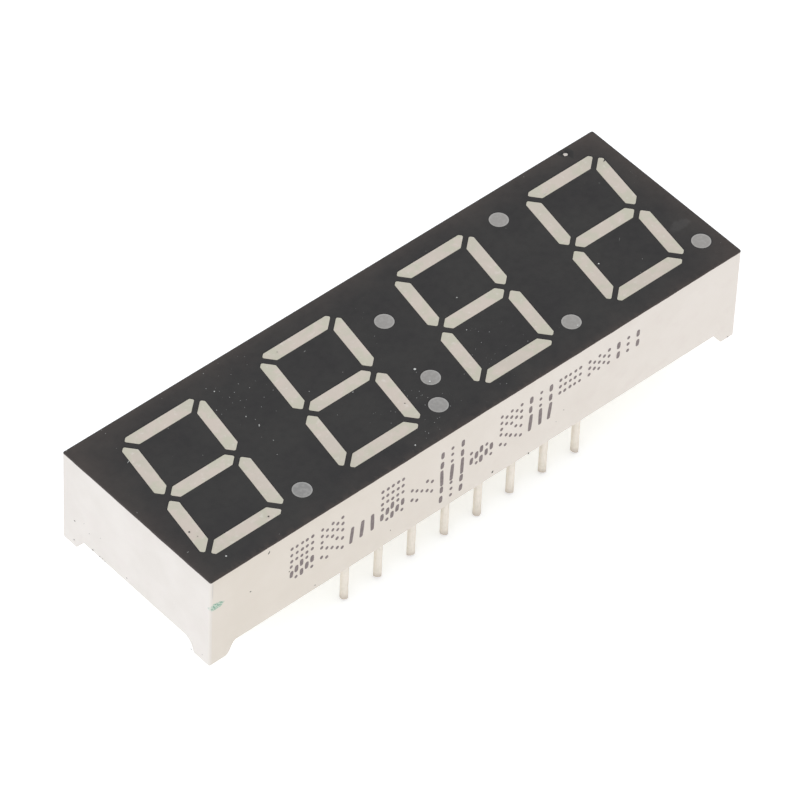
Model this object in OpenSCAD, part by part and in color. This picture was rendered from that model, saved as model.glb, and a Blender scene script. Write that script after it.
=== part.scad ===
// Seven segment display module: four digits, four decimal points, a colon and a degree dot.
// A white moulded reflector block holds a well for each light. The wells are filled with cast epoxy,
// a small board behind them carries the chips, and two rows of round pins leave through the potted back.
//
// Millimetres. The origin is the centre of the pin grid on the seating plane, where the feet's soles
// lie on a host board. +X runs along the digits, +Y towards their tops and +Z out of the face.

/* [Body] */
// Distance from one digit to the next
digit_pitch = 10.16; // [9.6:0.01:13]
// How much shorter the body is than its digits' pitch, so that modules stand end to end in step
stacking_gap = 0.44; // [0.1:0.01:1]
// Width of the body, across the digits' height
body_width = 12.8; // [12.4:0.1:16]
// Height from the soles of the feet to the face
body_height = 7; // [5.6:0.1:10]
// Thickness of the side walls round the open back
wall = 0.65; // [0.5:0.05:0.8]
// Radius of the body's four upright edges
corner_radius = 0.2; // [0.1:0.05:0.6]
// Thickness of the black coat on the face
coat_thickness = 0.06; // [0.03:0.01:0.15]

/* [Feet] */
// Height of the feet below the walls
foot_height = 0.9; // [0.4:0.05:1.1]
// Length of a foot's sole along each wall
foot_length = 1.15; // [0.8:0.05:2]
// How much longer a foot is at its root along the long walls
foot_flare_long = 0.5; // [0:0.05:0.8]
// How much longer a foot is at its root along the short walls
foot_flare_short = 0.6; // [0:0.05:0.8]

/* [Digits] */
// Height of a digit
digit_height = 9.92; // [8:0.01:10.8]
// Width of a digit before it is slanted
digit_width = 6.08; // [5:0.01:6.4]
// Slant of the digits in degrees
slant = 10; // [0:0.5:12]
// Distance of the digits' middle line above the middle of the face
digit_rise = 0.02; // [-0.3:0.01:0.3]
// Width of a segment
segment_width = 0.88; // [0.7:0.01:1.2]
// Width of the black strip between two segments
segment_gap = 0.37; // [0.2:0.01:0.5]
// Length cut off each outer corner of a digit, measured along its sides
corner_cut = 0.7; // [0.4:0.05:0.9]

/* [Dots] */
// Diameter of the decimal points, the colon dots and the degree dot
dot_diameter = 1.17; // [0.9:0.01:1.5]
// Distance of a decimal point from the middle of its digit, before the slant
point_offset = 4.34; // [4:0.01:4.6]
// Height of a decimal point above the foot of its digit
point_rise = 0.6; // [0.4:0.01:1]
// Distance between the two colon dots, before the slant
colon_spacing = 4.98; // [3:0.01:6]
// Depth of the degree dot below the top of the digits
degree_drop = 0.57; // [0.4:0.01:1.5]

/* [Wells] */
// Depth of the straight-sided stretch of a well under the face
well_lip = 0.8; // [0.4:0.05:1.5]
// Half the length of a segment's well where it meets the board
well_foot = 0.9; // [0.75:0.05:1.1]

/* [Board] */
// Thickness of the circuit board
board_thickness = 1; // [0.6:0.1:1.2]
// Gap between the board's edge and the walls, filled by the potting
board_clearance = 0.1; // [0.05:0.01:0.2]
// Depth of the potting's surface above the walls' lower edge
potting_recess = 0.08; // [0.02:0.01:0.6]
// Thickness of the potting behind the board
potting_cover = 1; // [0.6:0.05:1.2]
// Thickness of the copper pads
copper_thickness = 0.035; // [0.02:0.005:0.07]

/* [Lamps] */
// Side of an LED chip
chip_size = 0.25; // [0.2:0.01:0.35]
// Height of an LED chip
chip_height = 0.15; // [0.1:0.01:0.25]
// Side of the pad under a chip
chip_pad = 0.4; // [0.36:0.01:0.5]
// Side of the pad at a bond wire's foot
wire_pad = 0.2; // [0.15:0.01:0.25]
// Diameter of a bond wire
wire_diameter = 0.03; // [0.02:0.005:0.05]
// Space between a wire's pad and the edge of the smallest well
pad_margin = 0.03; // [0.01:0.01:0.05]

/* [Pins] */
// Diameter of a pin
pin_diameter = 0.5; // [0.4:0.05:0.7]
// Distance from one pin to the next in a row
pin_pitch = 2.54; // [2:0.01:3]
// Distance between the two rows of pins
row_spacing = 10.16; // [9:0.01:10.2]
// Length of a pin below the soles of the feet
pin_length = 3.5; // [2:0.1:8]
// How much a pin's root, inside the potting, swells beyond the pin's radius
root_swell = 0.05; // [0.02:0.01:0.1]
// Radial gap between a pin's root and its hole in the board, filled by solder
hole_clearance = 0.05; // [0.03:0.01:0.1]
// Width of the copper ring round a pin's hole
ring_width = 0.14; // [0.1:0.01:0.2]
// Height of the solder's cone behind the ring
solder_height = 0.4; // [0.2:0.05:0.55]

/* [Hidden] */
DIGIT_COUNT = 4;
DIGITS = [1:DIGIT_COUNT];
SEGMENTS = ["a", "b", "c", "d", "e", "f", "g"];
PINS_PER_ROW = 8;
PINS = [1:2 * PINS_PER_ROW];

$fn = 48;

// How far cutters run past the surfaces that they cut
past = 1;

// Plan
body_length = DIGIT_COUNT * digit_pitch - stacking_gap;
recess_length = body_length - 2 * wall;
recess_width = body_width - 2 * wall;
board_length = recess_length - 2 * board_clearance;
board_width = recess_width - 2 * board_clearance;

// Levels above the seating plane
coat_back = body_height - coat_thickness;
potting_level = foot_height + potting_recess;
board_back = potting_level + potting_cover;
board_front = board_back + board_thickness;
copper_front = board_front + copper_thickness;
copper_back = board_back - copper_thickness;
chip_front = copper_front + chip_height;
lip_level = coat_back - well_lip;

// Segments, before the slant, measured from the middle of their digit
half_height = digit_height / 2;
half_width = digit_width / 2;
bar = segment_width;
bar_middle = half_width - bar / 2;
miter_shift = segment_gap / sqrt(2);
corner_sum = half_width + half_height - corner_cut;

// Radii of a pin's joint
pin_radius = pin_diameter / 2;
root_radius = pin_radius + root_swell;
hole_radius = root_radius + hole_clearance;
ring_radius = hole_radius + ring_width;

// Bond wires leave the chip upright and bend over in one arc to their pad, where the arc is cut off
// after running on below it by some degrees
wire_run_on = 20;
wire_reach = dot_diameter / 2 - pad_margin - wire_pad / 2;
wire_turn = 2 * atan(chip_height / wire_reach);
wire_bend = wire_reach / (1 + cos(wire_turn));

// Colours
WHITE = [0.92, 0.9, 0.87];
BLACK = [0.235, 0.235, 0.24];
MILKY = [0.77, 0.75, 0.71];
GREY = [0.61, 0.61, 0.62];
GREEN = [0.16, 0.36, 0.22];
COPPER = [0.83, 0.6, 0.3];
GOLD = [0.9, 0.75, 0.35];
AMBER = [0.95, 0.65, 0.1];
TIN = [0.86, 0.84, 0.8];
SOLDER = [0.72, 0.73, 0.74];
EPOXY = [0.86, 0.84, 0.78];

// ---- Places on the face ----

// Leans a point of the upright digit over by the slant
function slanted(p) = [p[0] + p[1] * tan(slant), p[1]];

function flipped_x(points) = [for (p = points) [-p[0], p[1]]];
function flipped_y(points) = [for (p = points) [p[0], -p[1]]];

function digit_middle(d) = [(d - (DIGIT_COUNT + 1) / 2) * digit_pitch, digit_rise];

// Outline of the top bar: mitred ends, with the digit's corners cut off
function top_bar() =
    let (
        inner = half_height - bar,
        reach = half_width - bar - miter_shift,
        shift = half_height - half_width + miter_shift,
        tip = (corner_sum + shift) / 2
    )
    [
        [-reach, inner],
        [reach, inner],
        [tip - shift, tip],
        [half_width - corner_cut, half_height],
        [corner_cut - half_width, half_height],
        [shift - tip, tip]
    ];

// Outline of the middle bar: a long hexagon
function middle_bar() =
    let (
        tip = bar_middle - miter_shift,
        reach = tip - bar / 2
    )
    [
        [tip, 0],
        [reach, bar / 2],
        [-reach, bar / 2],
        [-tip, 0],
        [-reach, -bar / 2],
        [reach, -bar / 2]
    ];

// Outline of the upper right bar: pointed below, mitred and cut above
function upper_right_bar() =
    let (
        inner = half_width - bar,
        shoulder = miter_shift + bar / 2,
        shift = half_height - half_width - miter_shift,
        tip = (corner_sum - shift) / 2
    )
    [
        [bar_middle, miter_shift],
        [half_width, shoulder],
        [half_width, half_height - corner_cut],
        [tip, tip + shift],
        [inner, inner + shift],
        [inner, shoulder]
    ];

function upright_outline(s) =
    s == "a" ? top_bar() :
    s == "b" ? upper_right_bar() :
    s == "c" ? flipped_y(upper_right_bar()) :
    s == "d" ? flipped_y(top_bar()) :
    s == "e" ? flipped_y(flipped_x(upper_right_bar())) :
    s == "f" ? flipped_x(upper_right_bar()) :
    middle_bar();

// Middle of a segment before the slant
function upright_middle(s) =
    let (
        level = (half_height + miter_shift) / 2,
        side = half_height - bar / 2
    )
    s == "a" ? [0, side] :
    s == "b" ? [bar_middle, level] :
    s == "c" ? [bar_middle, -level] :
    s == "d" ? [0, -side] :
    s == "e" ? [-bar_middle, -level] :
    s == "f" ? [-bar_middle, level] :
    [0, 0];

function lies_across(s) = s == "a" || s == "d" || s == "g";

function segment_place(d, s) = digit_middle(d) + slanted(upright_middle(s));

function point_place(d) = digit_middle(d) + slanted([point_offset, point_rise - half_height]);

function middle_place(x, y) = [x, digit_rise] + slanted([0, y]);

COLON_UPPER = middle_place(0, colon_spacing / 2);
COLON_LOWER = middle_place(0, -colon_spacing / 2);
DEGREE = middle_place(digit_pitch, half_height - degree_drop);

DOTS = concat([for (d = DIGITS) point_place(d)], [COLON_UPPER, COLON_LOWER, DEGREE]);

// Pins count along the front row from the left, and back along the rear row
function pin_column(n) = n > PINS_PER_ROW ? 2 * PINS_PER_ROW + 1 - n : n;

function pin_place(n) = [
    (pin_column(n) - (PINS_PER_ROW + 1) / 2) * pin_pitch,
    (n > PINS_PER_ROW ? 1 : -1) * row_spacing / 2
];

// ---- Shapes that several pieces share ----

// A block between two levels over a plan drawn by the child
module between(low, high) {
    translate([0, 0, low])
        linear_extrude(high - low)
            children();
}

// The body's plan: a rectangle with four round corners
module body_plan() {
    x = body_length / 2 - corner_radius;
    y = body_width / 2 - corner_radius;
    square([2 * x, body_width], center = true);
    square([body_length, 2 * y], center = true);
    for (i = [-1, 1], j = [-1, 1])
        translate([i * x, j * y])
            circle(corner_radius);
}

module segment_window(d, s) {
    translate(digit_middle(d))
        polygon([for (p = upright_outline(s)) slanted(p)]);
}

module dot_window(place) {
    translate(place)
        circle(d = dot_diameter);
}

// Side view of a well, from its foot on the board up to its lip and past the face
module well_profile(half_length) {
    polygon([
        [-well_foot, board_front],
        [well_foot, board_front],
        [half_length, lip_level],
        [half_length + past, lip_level],
        [half_length + past, body_height + past],
        [-half_length - past, body_height + past],
        [-half_length - past, lip_level],
        [-half_length, lip_level]
    ]);
}

// The slopes that close a segment's well in along its length, towards the board
module well_slopes(d, s) {
    place = segment_place(d, s);
    across = lies_across(s);
    half_length = across ? half_width - bar / 2 : (half_height - miter_shift) / 2;
    translate([place[0], place[1], 0])
        rotate([90, 0, across ? 0 : 90])
            linear_extrude(digit_width, center = true)
                well_profile(half_length);
}

module segment_well(d, s, top) {
    intersection() {
        between(board_front, top)
            segment_window(d, s);
        well_slopes(d, s);
    }
}

module dot_well(place, top) {
    between(board_front, top)
        dot_window(place);
}

// Carries a lamp's pieces to its well, with the wire along the well's length
module at_lamp(place, turn) {
    translate([place[0], place[1], 0])
        rotate([0, 0, turn])
            children();
}

module at_segment_lamp(d, s) {
    at_lamp(segment_place(d, s), lies_across(s) ? 0 : 90 - slant)
        children();
}

// A square block on a level, centred on x
module square_block(x, side, level, height) {
    translate([x - side / 2, -side / 2, level])
        cube([side, side, height]);
}

module lamp_pads(below = 0) {
    square_block(0, chip_pad, board_front - below, copper_thickness + below);
    square_block(wire_reach, wire_pad, board_front - below, copper_thickness + below);
}

module lamp_chip() {
    square_block(0, chip_size, copper_front, chip_height);
}

module lamp_wire() {
    difference() {
        translate([wire_bend, 0, chip_front])
            rotate([90, 0, 0])
                rotate([0, 0, -wire_turn - wire_run_on])
                    rotate_extrude(angle = 180 + wire_turn + wire_run_on, $fn = 32)
                        translate([wire_bend, 0])
                            circle(d = wire_diameter, $fn = 24);
        square_block(wire_reach, 2 * wire_pad, board_front - past, copper_thickness + past);
    }
}

// Everything that a light's epoxy flows round
module lamp_cavity() {
    lamp_pads(below = past);
    lamp_chip();
    lamp_wire();
}

module every_lamp() {
    for (d = DIGITS, s = SEGMENTS)
        at_segment_lamp(d, s)
            children();
    for (place = DOTS)
        at_lamp(place, 0)
            children();
}

module at_pins() {
    for (n = PINS)
        translate(pin_place(n))
            children();
}

// ---- The housing and its face ----

// A cutter's profile that leaves a foot at each end of a wall of this length
module gap_between_feet(length, flare) {
    sole = length / 2 - foot_length;
    root = sole - flare;
    polygon([
        [-sole, -past],
        [sole, -past],
        [sole, 0],
        [root, foot_height],
        [-root, foot_height],
        [-sole, 0]
    ]);
}

module reflector_housing() {
    color(WHITE)
        difference() {
            between(0, coat_back)
                body_plan();
            between(-past, board_front)
                square([recess_length, recess_width], center = true);
            rotate([90, 0, 0])
                linear_extrude(body_width + 2 * past, center = true)
                    gap_between_feet(body_length, foot_flare_long);
            rotate([90, 0, 90])
                linear_extrude(body_length + 2 * past, center = true)
                    gap_between_feet(body_width, foot_flare_short);
            for (d = DIGITS, s = SEGMENTS)
                segment_well(d, s, body_height);
            for (place = DOTS)
                dot_well(place, body_height);
        }
}

module face_coat() {
    color(BLACK)
        difference() {
            between(coat_back, body_height)
                body_plan();
            between(coat_back - past, body_height + past)
                for (d = DIGITS, s = SEGMENTS)
                    segment_window(d, s);
            between(coat_back - past, body_height + past)
                for (place = DOTS)
                    dot_window(place);
        }
}

// ---- The lights: epoxy cast in each well, round its chip and wire ----

module digit_segment(d, s) {
    color(MILKY)
        difference() {
            segment_well(d, s, body_height);
            at_segment_lamp(d, s)
                lamp_cavity();
        }
}

module dot_light(place) {
    color(GREY)
        difference() {
            dot_well(place, body_height);
            at_lamp(place, 0)
                lamp_cavity();
        }
}

// ---- The board and its lamps ----

module board_plan() {
    square([board_length, board_width], center = true);
}

module circuit_board() {
    color(GREEN)
        difference() {
            between(board_back, board_front)
                board_plan();
            translate([0, 0, board_back - past])
                at_pins()
                    cylinder(r = hole_radius, h = board_thickness + 2 * past);
        }
}

module board_copper() {
    color(COPPER) {
        every_lamp()
            lamp_pads();
        intersection() {
            between(copper_back, board_back)
                at_pins()
                    difference() {
                        circle(ring_radius);
                        circle(hole_radius);
                    }
            between(copper_back - past, board_back + past)
                board_plan();
        }
    }
}

module led_chips() {
    color(AMBER)
        every_lamp()
            lamp_chip();
}

module bond_wires() {
    color(GOLD)
        every_lamp()
            lamp_wire();
}

// ---- Pins, solder and potting ----

// A round pin whose thicker root starts at the potting and ends flush with the board's front
module pin(n) {
    color(TIN)
        translate(pin_place(n))
            rotate_extrude()
                polygon([
                    [0, -pin_length],
                    [pin_radius, -pin_length],
                    [pin_radius, potting_level],
                    [root_radius, potting_level],
                    [root_radius, board_front],
                    [0, board_front]
                ]);
}

// Solder fills a pin's hole and spreads over its copper ring in a cone
module solder_profile() {
    polygon([
        [root_radius, board_front],
        [hole_radius, board_front],
        [hole_radius, copper_back],
        [ring_radius, copper_back],
        [root_radius, copper_back - solder_height]
    ]);
}

module solder_joints() {
    color(SOLDER)
        at_pins()
            rotate_extrude()
                solder_profile();
}

// Everything that the potting flows round within one pin's reach
module pin_cavity() {
    translate([0, 0, potting_level - past])
        cylinder(r = root_radius, h = board_front - potting_level + past);
    rotate_extrude()
        polygon([
            [0, board_back],
            [ring_radius, board_back],
            [ring_radius, copper_back],
            [root_radius, copper_back - solder_height],
            [0, copper_back - solder_height]
        ]);
}

module back_potting() {
    color(EPOXY)
        difference() {
            between(potting_level, board_front)
                square([recess_length, recess_width], center = true);
            between(board_back, board_front + past)
                board_plan();
            at_pins()
                pin_cavity();
        }
}

// ---- The pieces ----

reflector_housing();
face_coat();
for (d = DIGITS, s = SEGMENTS)
    digit_segment(d, s);
for (d = DIGITS)
    dot_light(point_place(d));
dot_light(COLON_UPPER);  // colon_upper
dot_light(COLON_LOWER);  // colon_lower
dot_light(DEGREE);  // degree_dot
circuit_board();
board_copper();
led_chips();
bond_wires();
for (n = PINS)
    pin(n);
solder_joints();
back_potting();
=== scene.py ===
import math
import random

import bmesh
import bpy
import numpy as np
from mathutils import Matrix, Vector, noise
from mathutils.geometry import delaunay_2d_cdt


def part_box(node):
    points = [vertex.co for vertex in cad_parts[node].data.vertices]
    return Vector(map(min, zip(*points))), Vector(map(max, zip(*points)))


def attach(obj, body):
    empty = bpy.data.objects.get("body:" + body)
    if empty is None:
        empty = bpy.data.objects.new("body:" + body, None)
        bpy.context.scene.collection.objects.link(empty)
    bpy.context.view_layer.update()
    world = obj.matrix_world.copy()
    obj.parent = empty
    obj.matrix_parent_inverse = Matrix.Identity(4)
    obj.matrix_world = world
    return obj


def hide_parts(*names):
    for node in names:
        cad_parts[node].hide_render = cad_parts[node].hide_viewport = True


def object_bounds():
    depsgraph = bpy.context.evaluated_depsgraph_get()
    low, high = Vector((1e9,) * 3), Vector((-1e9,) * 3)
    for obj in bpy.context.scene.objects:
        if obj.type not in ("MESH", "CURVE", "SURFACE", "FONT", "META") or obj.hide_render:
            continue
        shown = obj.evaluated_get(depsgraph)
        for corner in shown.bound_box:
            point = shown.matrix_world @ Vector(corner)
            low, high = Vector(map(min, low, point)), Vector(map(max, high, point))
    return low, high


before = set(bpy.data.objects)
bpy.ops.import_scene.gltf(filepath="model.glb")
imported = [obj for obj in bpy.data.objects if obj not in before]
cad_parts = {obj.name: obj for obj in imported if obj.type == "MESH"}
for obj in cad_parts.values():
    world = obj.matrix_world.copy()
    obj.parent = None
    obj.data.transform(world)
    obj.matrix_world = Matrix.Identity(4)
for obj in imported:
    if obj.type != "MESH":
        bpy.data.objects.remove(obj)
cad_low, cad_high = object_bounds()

# Lengths are in millimetres up to the point where a mesh is made.
MM = 0.001

HOUSING = "reflector_housing"
COAT = "face_coat"
POTTING = "back_potting"
BOARD = "circuit_board"
DIGITS = range(1, 5)
SEGMENTS = [f"digit_{d}_segment_{s}" for d in DIGITS for s in "abcdefg"]
DOTS = [f"decimal_point_{d}" for d in DIGITS] + ["colon_upper", "colon_lower", "degree_dot"]
PINS_PER_ROW = 8
PINS = [f"pin_{n}" for n in range(1, 2 * PINS_PER_ROW + 1)]

# The four corners of a rectangle about the origin, counterclockwise
CORNERS = np.array([[-1, -1], [1, -1], [1, 1], [-1, 1]])


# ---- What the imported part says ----


def box_mm(node):
    """A CAD node's lowest and highest corner in millimetres."""
    low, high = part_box(node)
    return np.array(low) / MM, np.array(high) / MM


def corners_mm(node):
    """A CAD node's vertices in millimetres."""
    return np.array([v.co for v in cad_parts[node].data.vertices]) / MM


def levels(node):
    """The heights at which a CAD node has vertices, from the lowest to the highest."""
    return sorted(set(np.round(corners_mm(node)[:, 2], 4)))


def hull(points):
    """The convex hull of flat points, counterclockwise, without points along its sides."""
    points = sorted(set(map(tuple, np.round(points, 5))))

    def half(ordered):
        chain = []
        for p in ordered:
            while len(chain) > 1:
                a = np.subtract(chain[-1], chain[-2])
                b = np.subtract(p, chain[-1])
                if a[0] * b[1] - a[1] * b[0] > 1e-5:
                    break
                chain.pop()
            chain.append(p)
        return chain[:-1]

    return np.array(half(points) + half(points[::-1]))


def outline_at(node, level):
    """The convex outline of a CAD node's vertices at one height."""
    points = corners_mm(node)
    return hull(points[abs(points[:, 2] - level) < 1e-3][:, :2])


housing_low, housing_high = box_mm(HOUSING)
HALF_X, HALF_Y = housing_high[:2]
FACE = box_mm(COAT)[1][2]
COAT_BACK = box_mm(COAT)[0][2]
POTTING_LEVEL = box_mm(POTTING)[0][2]
BOARD_FRONT = box_mm(BOARD)[1][2]
WALL = HALF_X - box_mm(POTTING)[1][0]
FOOT_HEIGHT = levels(HOUSING)[1]

# Radii of the body's upright edges: nearly sharp at its left end and a little rounder at its right end
LEFT_CORNER = 0.1
RIGHT_CORNER = 0.15


# ---- Flat outlines ----


def moved_in(points, distance):
    """A convex polygon with every side moved in by distance, or out if it is below zero."""
    ahead = np.roll(points, -1, axis=0) - points
    normal = np.stack([-ahead[:, 1], ahead[:, 0]], 1) / np.linalg.norm(ahead, axis=1)[:, None]
    shift = (points * normal).sum(1) + distance
    made = []
    for i in range(len(points)):
        sides = np.array([normal[i - 1], normal[i]])
        made.append(np.linalg.solve(sides, [shift[i - 1], shift[i]]))
    return np.array(made)


def rounded(points, radius, steps=5):
    """A convex polygon with an arc at each corner."""
    made = []
    for i, p in enumerate(points):
        back = points[i - 1] - p
        ahead = points[(i + 1) % len(points)] - p
        back, ahead = back / np.linalg.norm(back), ahead / np.linalg.norm(ahead)
        half = math.acos(np.clip(back @ ahead, -1, 1)) / 2
        middle = (back + ahead) / np.linalg.norm(back + ahead)
        centre = p + middle * radius / math.sin(half)
        start = p + back * radius / math.tan(half) - centre
        turn = math.pi - 2 * half
        for k in range(steps + 1):
            a = turn * k / steps
            c, s = math.cos(a), math.sin(a)
            made.append(centre + [start[0] * c - start[1] * s, start[0] * s + start[1] * c])
    return np.array(made)


def divided(loop, spacing):
    """A closed outline with points added so that none lie further apart than spacing."""
    made = []
    for p, q in zip(loop, np.roll(loop, -1, axis=0)):
        parts = max(1, math.ceil(np.linalg.norm(q - p) / spacing))
        made += [p + (q - p) * k / parts for k in range(parts)]
    return np.array(made)


def circle(centre, radius, count=48):
    """A regular polygon of count corners round a centre."""
    turns = np.arange(count) * 2 * math.pi / count
    return np.stack([centre[0] + radius * np.cos(turns), centre[1] + radius * np.sin(turns)], 1)


def depth_in(points, loop):
    """How far each point lies inside a convex outline; below zero outside it."""
    ahead = np.roll(loop, -1, axis=0) - loop
    normal = np.stack([-ahead[:, 1], ahead[:, 0]], 1) / np.linalg.norm(ahead, axis=1)[:, None]
    return ((points[:, None, :] - loop[None]) * normal[None]).sum(2).min(1)


def grid_in(low, high, spacing, seed):
    """Points on a slightly shaken grid."""
    shake = random.Random(seed)
    made = []
    for i in range(int((high[0] - low[0]) / spacing)):
        for j in range(int((high[1] - low[1]) / spacing)):
            x = low[0] + (i + 0.5 + 0.3 * (shake.random() - 0.5)) * spacing
            y = low[1] + (j + 0.5 + 0.3 * (shake.random() - 0.5)) * spacing
            made.append((x, y))
    return np.array(made).reshape(-1, 2)


def spread(loops, extra, outer, holes):
    """Triangles between the outer outline and the holes, with the loops as edges and extra points inside.

    Returns the flat points and the triangles.
    """
    points, edges = [], []
    for loop in loops:
        first = len(points)
        points += [Vector(p) for p in loop]
        edges += [(first + i, first + (i + 1) % len(loop)) for i in range(len(loop))]
    points += [Vector(p) for p in extra]
    found = delaunay_2d_cdt(points, edges, [], 0, 1e-6)
    flat = np.array([tuple(p) for p in found[0]])
    triangles = np.array([tuple(f) for f in found[2]])
    middle = flat[triangles].mean(1)
    keep = depth_in(middle, outer) > 0
    for hole in holes:
        keep &= depth_in(middle, hole) < 0
    return flat, triangles[keep]


# ---- Meshes ----


class Sheet:
    """Collects points and faces of one piece, in millimetres, with one number per point for its shader."""

    def __init__(self):
        self.points, self.faces, self.marks = [], [], []

    def add(self, points, faces, marks=0.0):
        """Takes in points and the faces between them, with one mark for all or one for each point."""
        first = len(self.points)
        self.points += [tuple(p) for p in points]
        self.faces += [tuple(int(i) + first for i in f) for f in faces]
        self.marks += [float(m) for m in np.broadcast_to(marks, len(points))]

    def add_rings(self, rings, marks=0.0):
        """Joins closed rings of equal length, each to the next, with one mark for all or for each ring."""
        count = len(rings[0])
        faces = []
        for r in range(len(rings) - 1):
            for i in range(count):
                j = (i + 1) % count
                a, b = r * count, (r + 1) * count
                faces.append((a + i, a + j, b + j, b + i))
        marks = np.repeat(np.broadcast_to(marks, len(rings)), count)
        self.add(np.concatenate(rings), faces, marks)

    def piece(self, name, material, slot, *nodes, sharp=40, solid=True):
        """Makes the piece: it rides the root body and replaces the CAD nodes that are named."""
        mesh = bpy.data.meshes.new(name)
        mesh.from_pydata([Vector(p) * MM for p in self.points], [], self.faces)
        mesh.attributes.new("mark", "FLOAT", "POINT").data.foreach_set("value", self.marks)
        mesh.validate()
        mesh.materials.append(material)
        if solid:
            weld(mesh)
        mesh.shade_smooth()
        mesh.set_sharp_from_angle(angle=math.radians(sharp))
        made = bpy.data.objects.new(name, mesh)
        bpy.context.scene.collection.objects.link(made)
        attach(made, "root")
        if nodes:
            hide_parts(*nodes)


def weld(mesh):
    """Merges points that coincide and drops faces that have no area."""
    work = bmesh.new()
    work.from_mesh(mesh)
    bmesh.ops.remove_doubles(work, verts=work.verts, dist=2e-7)
    bmesh.ops.dissolve_degenerate(work, edges=work.edges, dist=1e-7)
    bmesh.ops.recalc_face_normals(work, faces=work.faces)
    work.to_mesh(mesh)
    work.free()


def at_height(flat, level):
    """Flat points lifted to one level, or each to its own."""
    return np.column_stack([flat, np.broadcast_to(level, len(flat))])


def wave(s, size, seed):
    """Smooth noise from -1 to 1 along a length s, with features of about that size."""
    return noise.noise((s / size, seed * 7.31, 0.37))


# ---- Shaders ----


class Finish:
    """A material under construction; its methods return sockets."""

    def __init__(self, name, roughness=0.5, metallic=0.0, specular=0.5):
        self.material = bpy.data.materials.new(name)
        self.material.use_nodes = True
        self.tree = self.material.node_tree
        self.tree.nodes.clear()
        self.surface = self.node(
            "ShaderNodeBsdfPrincipled",
            {"Roughness": roughness, "Metallic": metallic, "Specular IOR Level": specular},
        )
        out = self.node("ShaderNodeOutputMaterial")
        self.tree.links.new(self.surface.outputs[0], out.inputs[0])
        where = self.node("ShaderNodeTexCoord").outputs["Object"]
        self.place = self.node(
            "ShaderNodeVectorMath", {0: where, 1: (1 / MM,) * 3}, operation="MULTIPLY"
        ).outputs[0]

    def node(self, kind, values=None, **settings):
        """A new node; each value is a constant for a socket, or a socket to link to it."""
        made = self.tree.nodes.new(kind)
        for key, value in settings.items():
            setattr(made, key, value)
        for socket, value in (values or {}).items():
            if isinstance(value, bpy.types.NodeSocket):
                self.tree.links.new(value, made.inputs[socket])
            else:
                made.inputs[socket].default_value = value
        return made

    def noise(self, size, detail=2.0):
        """Noise from 0 to 1 whose features are about size millimetres wide."""
        return self.node(
            "ShaderNodeTexNoise",
            {"Vector": self.place, "Scale": 1 / size, "Detail": detail, "Roughness": 0.5},
        ).outputs["Fac"]

    def ramp(self, value, low, high, to_low=0.0, to_high=1.0, smooth=True):
        """A value between low and high brought to the range from to_low to to_high."""
        return self.node(
            "ShaderNodeMapRange",
            {0: value, 1: low, 2: high, 3: to_low, 4: to_high},
            interpolation_type="SMOOTHSTEP" if smooth else "LINEAR",
        ).outputs[0]

    def sum(self, a, b, operation="ADD"):
        return self.node("ShaderNodeMath", {0: a, 1: b}, operation=operation).outputs[0]

    def times(self, a, b):
        return self.sum(a, b, "MULTIPLY")

    def mixed(self, share, first, second):
        """A colour between two; each is three numbers or a socket."""
        values = {0: share}
        for index, colour in ((6, first), (7, second)):
            values[index] = (*colour, 1) if isinstance(colour, tuple) else colour
        return self.node("ShaderNodeMix", values, data_type="RGBA").outputs[2]

    def specks(self, pitch, radius, share):
        """1 in small round specks, 0 elsewhere; this share of the cells, pitch wide, has one."""
        cells = self.node("ShaderNodeTexVoronoi", {"Vector": self.place, "Scale": 1 / pitch})
        shown = self.node("ShaderNodeSeparateColor", {0: cells.outputs["Color"]})
        size = self.times(self.ramp(shown.outputs[0], 1 - share, 1.0), radius / pitch)
        return self.ramp(self.sum(size, cells.outputs["Distance"], "SUBTRACT"), 0.0, 0.02)

    def along(self, axis):
        """The distance along one of the part's axes, in millimetres."""
        return self.node("ShaderNodeSeparateXYZ", {0: self.place}).outputs[axis]

    def mark(self):
        """The number that the piece's points carry."""
        return self.node("ShaderNodeAttribute", attribute_name="mark").outputs["Fac"]

    def patch(self, centre, radii, size=0.3, raggedness=0.8):
        """1 inside a ragged spot about a point, 0 outside it."""
        away = self.node("ShaderNodeVectorMath", {0: self.place, 1: centre}, operation="SUBTRACT")
        scaled = self.node(
            "ShaderNodeVectorMath",
            {0: away.outputs[0], 1: tuple(1 / r for r in radii)},
            operation="MULTIPLY",
        )
        length = self.node("ShaderNodeVectorMath", {0: scaled.outputs[0]}, operation="LENGTH")
        ragged = self.times(self.noise(size, 3.0), raggedness)
        reach = self.sum(length.outputs["Value"], ragged)
        return self.ramp(reach, 1.0 + raggedness / 2, 0.6 + raggedness / 2)

    def colour(self, value):
        """Links a socket to the base colour."""
        self.tree.links.new(value, self.surface.inputs["Base Color"])

    def roughness(self, value):
        """Links a socket to the roughness."""
        self.tree.links.new(value, self.surface.inputs["Roughness"])

    def bump(self, height, distance):
        """Relief of this many millimetres from a height of 0 to 1."""
        made = self.node("ShaderNodeBump", {"Height": height, "Distance": distance * MM, "Strength": 1.0})
        self.tree.links.new(made.outputs[0], self.surface.inputs["Normal"])


# Where a smear and a painted line of shade lie at the body's front left corner: centre and half sizes
SMEAR = ((-19.64, -HALF_Y, 4.78), (0.62, 0.4, 0.3))
PAINTED_EDGE_SHADE = ((0.17 - HALF_X, -HALF_Y, 6.2), (0.04, 0.3, 0.9))

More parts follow.
